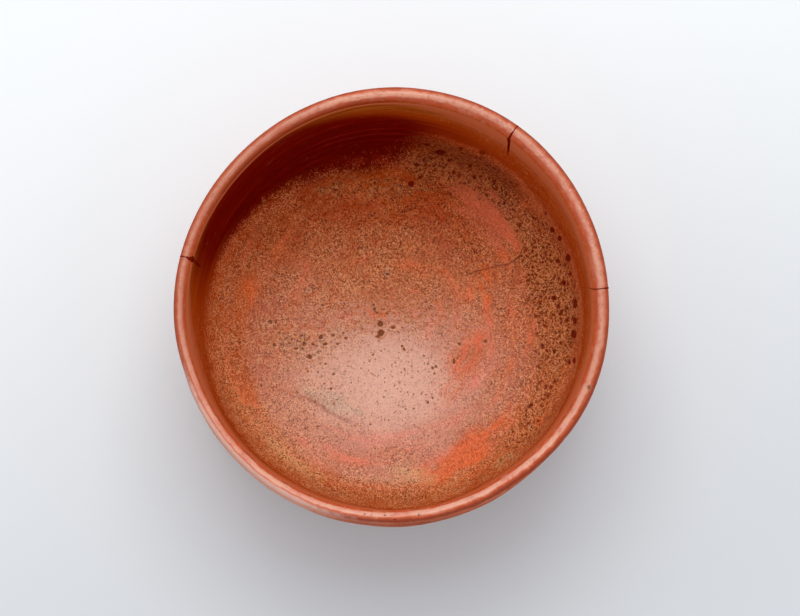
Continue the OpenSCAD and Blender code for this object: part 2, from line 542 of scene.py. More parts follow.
class Sight:
    """Finds the point of the bowl's surface that the camera sees at a pixel, and the pixel of a point."""

    def __init__(self, grid, place, turn):
        rows, stations = grid.shape[:2]
        faces = net(rows, stations, rows - 1).tolist()
        self.tree = BVHTree.FromPolygons(grid.reshape(-1, 3).tolist(), faces)
        self.place = place
        self.turn = turn

    def at(self, x, y):
        ray = self.turn @ Vector(((x - IMAGE_W / 2) / FOCAL_PX, (IMAGE_H / 2 - y) / FOCAL_PX, -1))
        return np.array(self.tree.ray_cast(self.place, ray.normalized())[0])

    def pixels(self, spots):
        right, up, back = ((spots - np.array(self.place)) @ np.array(self.turn)).T
        return np.column_stack([IMAGE_W / 2 - FOCAL_PX * right / back, IMAGE_H / 2 + FOCAL_PX * up / back])


# Marks on the inside, read from the picture: pixels, with sizes in millimetres

# Burst bubbles in the froth: x, y, half width and half height in pixels, depth
BURSTS = [
    (545.6, 213.7, 1.8, 2.2, 0.3), (552, 230, 2.6, 2.8, 0.4), (559.7, 238.6, 2.2, 2.8, 0.4),
    (568, 258, 2.6, 3.8, 0.4), (557.7, 261, 2.2, 2.2, 0.35), (551, 261, 1.6, 1.8, 0.35),
    (563.5, 283, 2.3, 2.8, 0.35), (570, 274, 1.6, 2.4, 0.3), (565, 265, 1.5, 1.6, 0.3),
    (554, 298, 2.8, 2.4, 0.3), (558, 306, 1.8, 2.2, 0.3), (575, 303.7, 2.2, 4.4, 0.4),
    (574.6, 320.7, 2.2, 3.2, 0.4), (573.5, 334, 3.0, 4.0, 0.4), (574, 360.6, 1.8, 3.4, 0.4),
    (569, 362, 1.6, 2.8, 0.35), (411, 184, 3.2, 3.0, 0.35), (440, 152.5, 4.8, 3.0, 0.35),
    (427, 145, 3.0, 2.0, 0.3), (482.5, 152.5, 3.4, 2.6, 0.35), (470, 166, 2.2, 1.8, 0.3),
    (450, 160, 2.2, 1.6, 0.3), (461, 149, 2.0, 1.6, 0.3), (424, 160, 2.0, 1.6, 0.3),
]
# Pits in the floor: the same
PITS = [
    (380.4, 324, 2.8, 2.8, 0.5), (381, 333, 3.2, 3.0, 0.5), (378, 336.5, 1.8, 1.6, 0.3),
    (393, 327.5, 2.4, 1.8, 0.35), (374.6, 309, 1.5, 2.0, 0.3), (376.5, 312.5, 1.3, 2.0, 0.3),
    (373, 305, 1.3, 1.2, 0.25), (383, 309, 1.2, 1.2, 0.25), (387, 274, 2.6, 1.6, 0.3),
    (309, 290, 2.0, 1.4, 0.3), (323, 305, 1.6, 1.4, 0.25), (426, 302, 2.4, 0.9, 0.25),
    (404, 349.5, 1.4, 1.3, 0.3), (402, 346, 1.6, 0.8, 0.2), (454, 361, 1.3, 3.6, 0.3),
    (459, 344, 1.4, 1.4, 0.25), (485.6, 341, 1.5, 1.5, 0.25), (334, 374, 1.5, 1.4, 0.3),
    (321, 337, 2.0, 2.2, 0.4), (333, 335, 1.8, 1.4, 0.35), (313, 344, 2.2, 1.2, 0.35),
    (325, 344, 2.2, 1.3, 0.35), (338, 344, 2.0, 1.0, 0.3), (304, 344, 1.6, 2.0, 0.35),
    (302.5, 349.5, 1.6, 1.6, 0.35), (310, 356.5, 2.6, 2.4, 0.45), (343, 333, 1.4, 1.0, 0.25),
    (346, 338, 1.2, 1.0, 0.25), (297, 348, 2.6, 1.4, 0.35), (289, 343, 2.0, 1.4, 0.3),
    (275, 345, 2.0, 1.6, 0.3), (270, 322, 2.4, 2.0, 0.35), (262, 385, 1.4, 1.4, 0.25),
    (260, 361, 1.4, 1.6, 0.25), (331, 389, 1.1, 1.2, 0.2), (334, 404, 1.2, 1.0, 0.2),
    (406, 409, 1.1, 1.0, 0.2), (413.5, 409, 1.2, 1.1, 0.2), (371, 424, 1.2, 1.1, 0.25),
    (384, 397, 1.0, 1.0, 0.2), (373, 375, 1.0, 1.0, 0.2), (400, 383, 1.0, 1.0, 0.2),
    (373, 355, 1.2, 1.2, 0.2), (369.5, 361, 1.0, 1.0, 0.2), (424, 356, 1.2, 1.0, 0.2),
    (427.5, 402, 1.2, 1.0, 0.2), (432.6, 398, 1.0, 1.0, 0.2), (413.5, 394, 1.0, 1.2, 0.2),
    (432, 368, 1.4, 1.4, 0.25), (428, 364, 1.2, 1.0, 0.2), (436, 366, 1.0, 1.0, 0.2),
    (434, 373, 1.0, 1.0, 0.2), (318, 426, 1.4, 1.0, 0.2), (308, 371, 1.3, 1.3, 0.25),
    (318.5, 372, 1.2, 1.2, 0.25), (326, 364, 1.0, 1.0, 0.2), (449, 326, 1.2, 1.0, 0.2),
    (531, 427, 1.4, 1.4, 0.3), (361, 300, 1.0, 1.0, 0.2), (436, 291, 1.4, 0.9, 0.2),
]
# Closed bubbles that stand up: the same, with a height
BLISTERS = [
    (408.5, 320.5, 2.8, 2.4, 0.4), (290.5, 341, 1.6, 1.4, 0.3), (281, 336, 1.4, 1.4, 0.25),
    (303, 338, 1.6, 1.2, 0.3), (316, 335, 1.4, 1.4, 0.25), (329, 342, 1.4, 1.2, 0.25),
    (268, 352, 1.4, 1.4, 0.25), (295, 330, 1.4, 1.2, 0.2), (308, 350, 1.6, 1.2, 0.25),
    (258, 370, 1.2, 1.2, 0.2), (387, 269, 2.2, 1.4, 0.2),
]
# Chips along the lip: the same
CHIPS = [
    (363.8, 513.8, 1.2, 1.4, 0.15), (371, 515.2, 1.0, 0.9, 0.1), (385, 515.5, 1.6, 0.9, 0.12),
    (419, 514.8, 1.5, 1.1, 0.15), (394.5, 519.5, 2.0, 0.8, 0.1),
]
OLIVE_SPECK = [(589, 387.4, 1.8, 2.4, 0)]

# Patches: x, y, half length and half width in pixels, turn from +X, strength. In the warm and rose patches
# the film is missing, haze is a veil on it and ash a pale veil that is partly a painted highlight, the calm
# patch is worn smooth, the thin patches are a thin film darkened further as painted shade, blush is a pale
# film, and foam and scum are dried bubbles.
WARM = [
    (481, 284, 18, 14, 60, 0.8), (486, 303, 14, 8, 90, 0.6), (469, 357, 28, 13, 58, 1.05),
    (455, 386, 22, 11, 48, 0.5), (462, 456, 34, 13, 38, 1.4), (442, 468, 26, 10, 20, 0.8),
    (506, 422, 24, 13, 40, 0.85), (520, 325, 34, 20, 75, 0.3), (509, 253, 22, 13, 60, 0.55),
    (249, 296, 26, 11, 75, 0.75), (245, 389, 22, 11, 110, 0.6), (297, 428, 36, 14, -40, 0.2),
    (345, 462, 44, 14, -20, 0.25), (400, 455, 40, 12, 0, 0.35), (537, 420, 4, 4, 0, 1.4),
    (497, 382, 42, 12, 55, 0.45), (369, 170, 26, 10, 10, 0.5), (268, 205, 20, 9, 50, 0.35),
    (282, 257, 24, 12, 60, 0.35), (382, 317, 5, 9, 110, 0.8),
]
ROSE = [
    (490, 214, 44, 16, -47, 1.35), (380, 436, 46, 14, -8, 0.45), (468, 364, 42, 20, 58, 0.95),
    (440, 322, 32, 18, 10, 0.4), (300, 262, 40, 18, 40, 0.3),
]
HAZE = [(507, 208, 22, 7, -55, 0.5), (526, 223, 16, 7, -60, 0.4), (480, 192, 18, 5, -42, 0.4)]
# Pale streak along the pool's ridge, partly grey glaze and partly a painted highlight on the ridge's lit
# upper side
ASH = [(331, 403, 30, 9, -27, 1.0)]
CALM = [(386, 384, 92, 76, 0, 1.0)]
# The pale pool on the floor, partly a dried pool of tea and partly a painted highlight: x, y, half width and
# half depth in pixels
POOL = (378, 382, 84, 50)
# Thin, redder film, which is also painted shade towards the top of the floor and at its right
THIN = [
    (462, 224, 30, 13, -45, 0.6), (526, 204, 24, 9, -50, 0.6), (300, 222, 60, 40, 40, 0.45),
    (390, 190, 110, 40, 0, 0.9), (448, 172, 60, 28, -25, 0.9), (530, 300, 24, 70, 0, 0.4),
    (450, 245, 50, 30, 0, 0.5),
]
BLUSH = [
    (388, 366, 120, 104, 0, 1.0), (290, 428, 50, 30, -40, 1.3), (262, 340, 30, 44, 0, 0.45),
    (395, 474, 70, 18, 0, 0.8), (420, 270, 60, 50, 0, 0.5),
]
FOAM = [
    (448, 486, 14, 6, 12, 0.4), (507, 459, 12, 6, 35, 0.5), (528, 418, 14, 12, 40, 0.7),
    (345, 182, 34, 14, 22, 0.5), (392, 190, 30, 14, 0, 0.6), (248, 410, 14, 8, -60, 0.5),
    (300, 343, 44, 18, -6, 0.52),
]
SCUM = [
    (292, 458, 40, 12, -38, 0.85), (408, 479, 30, 12, 2, 0.95), (450, 486, 18, 7, 12, 0.9),
    (507, 459, 14, 7, 35, 0.8), (240, 402, 26, 12, -66, 0.6), (395, 190, 44, 12, 0, 0.5),
    (340, 186, 40, 10, 22, 0.5), (300, 343, 44, 20, -6, 0.5),
]
# Bands of larger bubbles: angle, half angle, radius, half radius, strength
FROTH = [(12, 40, 48.5, 7.5, 1.0), (66, 26, 50.5, 8, 0.95), (-32, 22, 50, 5, 0.6)]
# Stretch of the wall where the red is deepest, a deeper red glaze darkened further as painted shade where the
# far wall
# faces away from the light: angle, distance in pixels from the middle of the lip at which it starts, is full,
# is still full and ends, strength
DEEP = [
    (40, 166, 184, 180, 190, 0), (62, 150, 180, 178, 190, 0.2), (74, 150, 176, 180, 192, 0.4),
    (88, 112, 154, 178, 194, 0.95), (100, 110, 148, 180, 198, 1), (120, 122, 162, 188, 206, 1),
    (140, 138, 174, 194, 206, 1), (160, 156, 186, 196, 208, 0.9), (188, 176, 200, 200, 212, 0),
]
# A hairline across the floor
HAIRLINE = [(466, 275), (478, 271), (490, 268), (508, 264), (519.5, 256.5), (523, 247.5)]
# The ridge along the edge of the tea pool
RIDGE = [(300, 394), (312, 401), (324, 408), (338, 416), (350, 423)]
RIDGE_RISE = 0.15
RIDGE_REACH = 6
# Height below which the foam film starts on the wall, how soft its edge is, and how it wavers
FILM_TOP = 25.5
FILM_EDGE = 7
FILM_WAVER = [(3.5, 14, 2, 1)]
# How much higher the film climbs in the froth, and how much softer its edge is there
FROTH_CLIMB = 6
FROTH_SOFT = 8
BACK_FROTH_CLIMB = 9
# Heights between which the ground under the froth at the back is darkened as painted shade
GLOOM = (14, 24, 28, 40)
# Depth of the brown band below the lip, and how soft its edge is
BAND_DEPTH = 15
BAND_SOFT = 8
# Depth of the paler rim below the lip, and how much deeper it is at the back right and at the front
RIM_DEPTH = 7
RIM_SPREAD = 20
RIM_FRONT = 42
# How far the pale stripe, partly worn and partly a painted highlight, lies in from the crest at the front, as
# a share of the lip
LIP_SHIFT = 0.1
LIP_SHIFT_FULL = 0.3
# Shares of the lip at which the wall ends, the dim side is full, and the outside's looks take over
WALL_END = 0.1
DIM_FULL = 0.1
OUTER_EDGE = (0.35, 0.95)
# How much dimmer the lip is at the left, and how much less dim at the top
DIM_SIDE = 0.6
# Distance in pixels from the middle of the lip at which the painted shade along the floor's front edge starts
# and is full
DUSK_EDGE = (184, 200)
# Wiping marks: size across, size along, seed
SWIRL = (3, 18, 2)
STREAKS = (1.6, 12, 11)
# How far edges of patches wander, the size of that noise, and its seeds
FRAY = 2.2
FRAY_SIZE = 9
FRAY_SEEDS = (13, 14, 15)
RIDGE_WANDER = 0.4
# Distances across the ridge: start, full, last full and end of the painted shadow on its lower side and of
# the ridge itself
FLANK_ACROSS = (-1.6, -0.3, 0, 0.9)
RIDGE_ACROSS = (-2.4, 0.8, 0.8, RIDGE_REACH)
# Sectors of the bowl: middle angle, and how far from it an effect ends and is full
SECTORS = {
    "froth": (8, 75, 20), "back froth": (66, 30, 14), "front": (262, 95, 65), "left": (150, 55, 25),
    "top": (95, 25, 10), "rim": (32, 64, 26), "back": (90, 140, 100), "frost": (228, 44, 10),
    "shade": (118, 45, 22), "edge": (10, 110, 130), "fleck": (34, 42, 26),
}
# Stretches across the lip, as shares of it: start, full, last full, end
STRETCHES = {
    "lip": (0, 0.22, 0.8, 1), "frost": (0.5, 0.72, 0.85, 1), "shade": (0, 0.05, 0.1, 0.45),
    "edge": (0, 0.03, 0.06, 0.16), "fleck": (0.3, 0.46, 0.6, 0.8),
}
# Patches by the field that they make, with the share of the wiping marks in each
PATCHES = {
    "warm": (WARM, 1), "rose": (ROSE, 1), "haze": (HAZE, 1), "ash": (ASH, 1), "blush": (BLUSH, 0.4),
    "calm": (CALM, 0), "thin": (THIN, 1), "scum": (SCUM, 1), "foam": (FOAM, 1),
}
# Marks by the field that they make: 1 goes into the surface, and -1 stands up from it
MARKS = {
    "burst": (BURSTS, 1), "pit": (PITS, 1), "chip": (CHIPS, 1), "blister": (BLISTERS, -1),
    "olive": (OLIVE_SPECK, 1),
}
# How quickly a patch fades out, and how much the wiping marks change it
PATCH_FALL = 0.8
PATCH_STREAK = 0.5
# Edges of the pale pool and its painted highlight: where its front starts and is full, its clear edge, and
# its soft edge
POOL_FRONT = (-0.3, 0.5)
POOL_CLEAR = (1.12, 0.86)
POOL_SOFT = (1.7, 0.2)
BAND_EDGE = (1.3, 0.5)
# A mark's wall, and the height, place and width of its raised rim, as shares of its radius
MARK_WALL = (1.1, 0.4)
MARK_RIM = 0.22
MARK_RIM_AT = 1.35
MARK_RIM_W = 0.28
# No mark is longer than this along the surface, and every distance beyond the next is far
MARK_REACH = 10
MARK_FAR = 9.0
LINE_REACH = 1.6


def ellipse_field(pixels, frayed, streaks, patches):
    """The strongest of several soft patches at each point, as the camera sees them."""
    best = np.zeros(len(pixels))
    for x, y, length, width, turn, strength in patches:
        dx = pixels[:, 0] - x + frayed[:, 0] * FLOOR_PX_PER_MM
        dy = y - pixels[:, 1] + frayed[:, 1] * FLOOR_PX_PER_MM
        along = (dx * cos(turn) + dy * sin(turn)) / length
        across = (dy * cos(turn) - dx * sin(turn)) / width
        best = np.maximum(best, strength * np.exp(-PATCH_FALL * (along ** 2 + across ** 2)))
    return best * (1 + PATCH_STREAK * streaks)


def pool_field(pixels, frayed):
    """The pale pool on the floor, partly dried tea and partly a painted highlight, with a clear edge at the
    front and a soft one at the back.
    """
    x, y, half_x, half_y = POOL
    across = (pixels[:, 0] - x + frayed[:, 0] * FLOOR_PX_PER_MM) / half_x
    along = (pixels[:, 1] - y + frayed[:, 1] * FLOOR_PX_PER_MM) / half_y
    away = np.hypot(across, along)
    front = fade(along, *POOL_FRONT)
    return front * fade(away, *POOL_CLEAR) + (1 - front) * fade(away, *POOL_SOFT)


def swirled(spots, across, along, seed):
    """Noise drawn out round the axis, as a wiping hand leaves it."""
    radius = np.hypot(spots[:, 0], spots[:, 1])
    turns = spots[:, :2] / np.maximum(radius, 1)[:, None] * FLOOR_R / along
    return rough(np.column_stack([radius / across, turns]), 1, 3, seed)


def band_field(spots, bands):
    """The strongest of several soft bands that follow the wall round."""
    angle = np.degrees(np.arctan2(spots[:, 1], spots[:, 0]))
    radius = np.hypot(spots[:, 0], spots[:, 1])
    best = np.zeros(len(spots))
    for middle, half_angle, middle_r, half_r, strength in bands:
        away = np.hypot(apart(angle, middle) / half_angle, (radius - middle_r) / half_r)
        best = np.maximum(best, strength * fade(away, *BAND_EDGE))
    return best


def deep_field(pixels):
    """Where the red of the wall is deepest and darkened further as painted shade, as the camera sees it."""
    across = pixels[:, 0] - RIM_PIXEL[0]
    up = RIM_PIXEL[1] - pixels[:, 1]
    angle = np.degrees(np.arctan2(up, across)) % 360
    distance = np.hypot(across, up)
    at, *columns = np.array(DEEP).T
    *edges, strength = (np.interp(angle, at, column) for column in columns)
    return between(distance, *edges) * strength


def hole_fields(sight, spots, holes):
    """Distance from each point to the edge of the nearest mark, and the marks' depth there."""
    edge = np.full(len(spots), MARK_FAR)
    depth = np.zeros(len(spots))
    seen = sight.pixels(spots)
    for x, y, half_x, half_y, deep in holes:
        radius = max(half_x, half_y) / PX_PER_MM
        near = np.linalg.norm(spots - sight.at(x, y), axis=1) < MARK_REACH
        share = np.hypot((seen[near, 0] - x) / half_x, (seen[near, 1] - y) / half_y)
        edge[near] = np.minimum(edge[near], (share - 1) * radius)
        rim = MARK_RIM * np.exp(-((share - MARK_RIM_AT) / MARK_RIM_W) ** 2)
        depth[near] += deep * (fade(share, *MARK_WALL) - rim)
    return edge, depth


def line_fields(sight, spots, pixels, reach=LINE_REACH):
    """Signed distance from a line through the given pixels, and how near its stretch a point is."""
    route = np.array([sight.at(x, y) for x, y in pixels])
    nearest = np.full(len(spots), np.inf)
    signed = np.zeros(len(spots))
    for a, b in zip(route[:-1], route[1:]):
        leg = b - a
        t = np.clip((spots - a) @ leg / (leg @ leg), 0, 1)
        gap = spots - a - t[:, None] * leg
        away = np.linalg.norm(gap, axis=1)
        turn = np.sign(leg[0] * gap[:, 1] - leg[1] * gap[:, 0])
        closer = away < nearest
        signed = np.where(closer, turn * away, signed)
        nearest = np.minimum(nearest, away)
    return np.clip(signed, -reach, reach), fade(nearest, reach, reach / 2)


# Materials

# Ranges of the looks: before the first number a value counts as 0, and after the second as 1. Two more
# numbers stand for that 0 and 1.
RANGES = {
    "outer red": (0.36, 0.64), "outer high": (0.05, 0.085), "outer pale": (0.062, 0.084),
    "pinhole gap": (0.2, 0.1), "pinhole pick": (0.6, 0.7), "outer grain": (0.3, 0.7, 0.5, 0.62),
    "outer gloss": (0.25, 0.7, 0.04, 0.14), "film": (0.15, 0.75), "cloud": (0.35, 0.65),
    "cover": (0.1, 1.0, 0, 0.85), "wiped": (0, 0.5, 0.75, 0), "froth in rose": (0.3, 1.0, 1, 0.2),
    "in quiet": (0, 1, 1, 0.3), "busy": (0.8, 1.15, 0.55, 1.1), "dark": (0.5, 0.22), "pale": (0.5, 0.78),
    "pale in thin": (0, 1, 1, 0.55), "pored": (0, 0.8, 0.3, 0.9), "hole gap": (0.32, 0.16),
    "hole pick": (0.45, 0.5), "hole in rose": (0, 0.8, 1, 0.3), "bubbly": (0.1, 0.6),
    "bubble tone": (0.35, 0.45), "hair width": (0.32, 0.08), "streak": (-0.2, 0.2), "deep": (0.05, 0.85),
    "deep there": (0, 0.1), "deep in film": (0, 1, 1, 0.25), "deep red": (-0.1, 0.25), "rim": (0, 1),
    "film gloss": (0, 1, 0.62, 0.37), "crest in": (0.3, 0.46), "crest out": (0.72, 0.56),
    "crest grain": (0.4, 0.7, 0, 0.4), "groove in": (0.2, 0.3), "groove out": (0.42, 0.32),
    "groove": (-0.12, 0.1), "frost": (0.1, 0.9), "fleck gap": (0.42, 0.2), "fleck pick": (0.35, 0.5),
    "dot gap": (0.2, 0.1), "dot pick": (0.35, 0.25), "dash": (0.18, 0.3), "chip": (0.15, -0.1),
    "olive": (0.25, -0.2), "clay cloud": (0.35, 0.7), "sand gap": (0.42, 0.2), "sand pick": (0.72, 0.8),
    "clay pit gap": (0.4, 0.22), "clay pit pick": (0.3, 0.2), "clay roughness": (0.3, 0.7, 0.75, 0.92),
    "lacquer": (0.35, 0.7), "lacquer roughness": (0.3, 0.7, 0.45, 0.6),
}

# Weights of the values that a look adds up or compares. The outside carries a painted reflection of the table
# at the front left.
PALE_AT = 222
WEIGHTS = {
    "outer red": (0.6, 0.4), "outer way": (cos(PALE_AT), sin(PALE_AT)), "outer high": (1, 0.04),
    "outer pale": (1, 0.03, 0.02), "bloom": (1, 0.7), "outer roughness": (1, 0.2),
    "outer height": (0.3, -1, 0.9, 0.8), "outer gloss": (1, -0.3), "speck": (0.7, 0.3), "frayed": (0.8, 1.3),
    "film": (1, 1, -1), "cover": (1, 1.2, 0.45, -0.7), "blotch": (1.1, 1), "quiet": (0.75, 0.6, 0.8),
    "busy": (1, 1), "hairline": (1, 0.8), "deep": (1, 0.9, 0.3), "deep red": (1, 0.5), "rim": (1, 0.9),
    "inner roughness": (1, 0.2, 0.2, 0.35), "inner height": (0.5, 0.5, -1.2, -1.4, 0.5, -0.8),
    "matt": (0.6, 1, 1, 1, 1, 1), "lip place": (1, 0.25), "frost": (1, 1), "dash": (1, 0.3), "chip": (1, 0.4),
    "olive": (1, 0.3), "lip bumps": (1, 0.4), "clay height": (1, 0.6, -1, 0.8),
}
# Height added to the outside's relief, and how much smoother the worn floor is
OUTER_BASE = -0.7
CALM_SMOOTH = 0.08
OUTER_REDS = ((160, 66, 36), (196, 98, 64))
# Warps of object space: size, reach
OUTER_WARP = (9, 5)
INNER_WARP = (1.1, 0.35)
FLECK_WARP = (1.2, 0.4)
SAND_WARP = (0.8, 0.3)
# Noises: size, detail, roughness
OUTER_NOISES = {
    "cloud": (26, 4, 0.6), "drift": (8, 5, 0.62), "smoke": (38, 3, 0.55), "mottle": (2.4, 4, 0.62),
    "grain": (0.6, 3, 0.65),
}
INNER_NOISES = {"coarse": (0.9, 2, 0.6), "mottle": (2.6, 3, 0.6), "cloud": (11, 3, 0.55)}
STREAK_NOISE = (3.4, 3, 0.65)
STREAK_ALONG = (0.06, 0.06, 1)
LIP_NOISES = {"soft": (3.4, 3, 0.6), "grain": (0.6, 2, 0.6), "patch": (7, 2, 0.5), "blot": (1.5, 3, 0.6)}
CLAY_NOISES = {"grain": (0.5, 4, 0.7), "cloud": (8, 3, 0.6), "mottle": (2.2, 3, 0.6)}
LACQUER_NOISE = (0.6, 3, 0.6)
# Spacing of cells
OUTER_SPECK = 0.42
PINHOLES = 2.1
FINE_SPECK = 0.2
MEDIUM_SPECK = 0.48
HOLES = 1.0
FLECKS = 1.2
SAND = 0.8
# Tints of the outside: start, end, strength, colour, or only the last two
OUTER_TINTS = {
    "cloud": (0.5, 0.7, 0.55, (214, 124, 88)),
    "smoke": (0.54, 0.74, 0.55, (92, 44, 32)),
    "pale speck": (0.62, 0.95, 0.28, (232, 164, 124)),
    "dark speck": (0.36, 0.05, 0.3, (118, 40, 18)),
    "bloom": (0.98, 1.1, 0.4, (224, 168, 140)),
    # Painted reflection of the table
    "blanched": (0.7, (226, 170, 148)),
    "pinhole": (0.75, (78, 26, 12)),
}


def outer_look(shader):
    """Colour, roughness, height and gloss of the glaze outside: soft red with pale and smoky clouds."""
    times, ranged, tints = shader.times, shader.ranged, OUTER_TINTS
    warped = shader.wobbled(*OUTER_WARP)
    cloud, drift, smoke = (shader.noise(*OUTER_NOISES[name], warped) for name in ("cloud", "drift", "smoke"))
    mottle, grain = (shader.noise(*OUTER_NOISES[name]) for name in ("mottle", "grain"))
    x, y, z = shader.axes()
    colour = shader.mix(ranged("outer red", drift, mottle), *OUTER_REDS)
    colour = shader.wash(colour, cloud, tints["cloud"])
    start, end, strength, over = tints["smoke"]
    smoke = shader.fade(smoke, start, end, 0, strength)
    colour = shader.mix(smoke, colour, over)
    # Painted reflection of the table high on the outside at the front left
    high = ranged("outer high", z, drift)
    blanched = ranged("outer pale", shader.summed("outer way", x, y), cloud, drift)
    colour = shader.lay(colour, times(blanched, high), tints["blanched"])
    speck = shader.cells(OUTER_SPECK)[1]
    colour = shader.wash(colour, speck, tints["pale speck"])
    colour = shader.wash(colour, speck, tints["dark speck"])
    colour = shader.wash(colour, shader.summed("bloom", mottle, cloud), tints["bloom"])
    gap, pick, _ = shader.cells(PINHOLES)
    pinhole = times(ranged("pinhole gap", gap), ranged("pinhole pick", pick))
    colour = shader.lay(colour, pinhole, tints["pinhole"])
    roughness = shader.summed("outer roughness", ranged("outer grain", grain), smoke)
    height = shader.total(shader.summed("outer height", grain, pinhole, drift, mottle), OUTER_BASE)
    return colour, roughness, height, ranged("outer gloss", mottle, smoke)


# Bubbles in the froth: spacing, thickness of the net between them in shares of it, strength
BUBBLES = [(0.62, 0.3, 0.85), (1.05, 0.3, 0.9), (1.8, 0.3, 0.85)]
BUBBLE_EDGE = (0.4, 1.2)
# Tints of the inside that follow a field: weights of the mottle and of the coarse noise that fray it, where
# it starts and is full, strength, colour
TINTS = {
    # Thin film, also painted shade towards the top of the floor
    "thin": (0.6, 0, 0, 1, 0.6, (192, 62, 4)),
    "blush": (0.4, 0, 0, 1, 0.65, (229, 154, 112)),
    "pool": (0.5, 0, 0.1, 0.9, 0.62, (240, 176, 138)),
    "warm": (0, 0, 0, 1.15, 0.85, (252, 110, 36)),
    "rose": (0, 0, 0.05, 1.15, 0.66, (250, 130, 96)),
    "haze": (0.9, 0, 0.1, 1.0, 0.45, (184, 120, 104)),
    # Pale streak on the ridge, partly a painted highlight
    "ash": (0.6, 0, 0.1, 0.9, 0.6, (198, 168, 130)),
    "foam": (0.9, 0, 0.1, 1.0, 0.55, (230, 153, 90)),
    "scum": (1.2, 1.0, 0.2, 1.1, 0.75, (240, 186, 124)),
    "burst": (0.7, 0, 0.2, -0.15, 0.9, (122, 16, 6)),
    "glint": (0, 1.4, 0.6, 0.3, 0.22, (252, 200, 164)),
    "pit": (0.9, 1.2, 0.2, -0.2, 0.72, (92, 34, 10)),
    # Pale tops of the blisters, a painted highlight
    "blister": (0, 0.8, 0.2, -0.3, 0.55, (250, 198, 158)),
    # Painted shadow below the ridge
    "flank": (1.2, 0, 0.3, 1.0, 0.55, (166, 78, 46)),
    # Painted shade under the froth at the back
    "gloom": (1.2, 0, 0.1, 1.1, 0.42, (84, 8, 0)),
}
# Other tints of the inside: strength, colour
INNER_TINTS = {
    "dark speck": (0.95, (98, 22, 0)),
    "hairline": (0.6, (104, 38, 16)),
    # Painted shade along the floor's front edge
    "dusk": (0.22, (122, 52, 18)),
    "bare wall": (0.6, (166, 76, 10)),
    "rim": (0.8, (212, 116, 78)),
}
# Pairs of colours that the inside runs between, and the colour of its pinholes
BARE_GLAZE = ((190, 62, 2), (208, 80, 8))
TAN_FILM = ((206, 102, 42), (218, 120, 62))
PALE_SPECKS = ((254, 182, 126), (240, 150, 68))
HOLLOWS = ((150, 46, 6), (98, 10, 0))
BROWN_BAND = ((128, 48, 4), (184, 108, 34))
DEEP_RED = ((108, 4, 1), (138, 13, 4))
HOLE_COLOUR = (92, 28, 4)
PALE_SPECK_SHARE = 0.9
BAND_SHARE = 0.85
DEEP_SHARE = 0.96


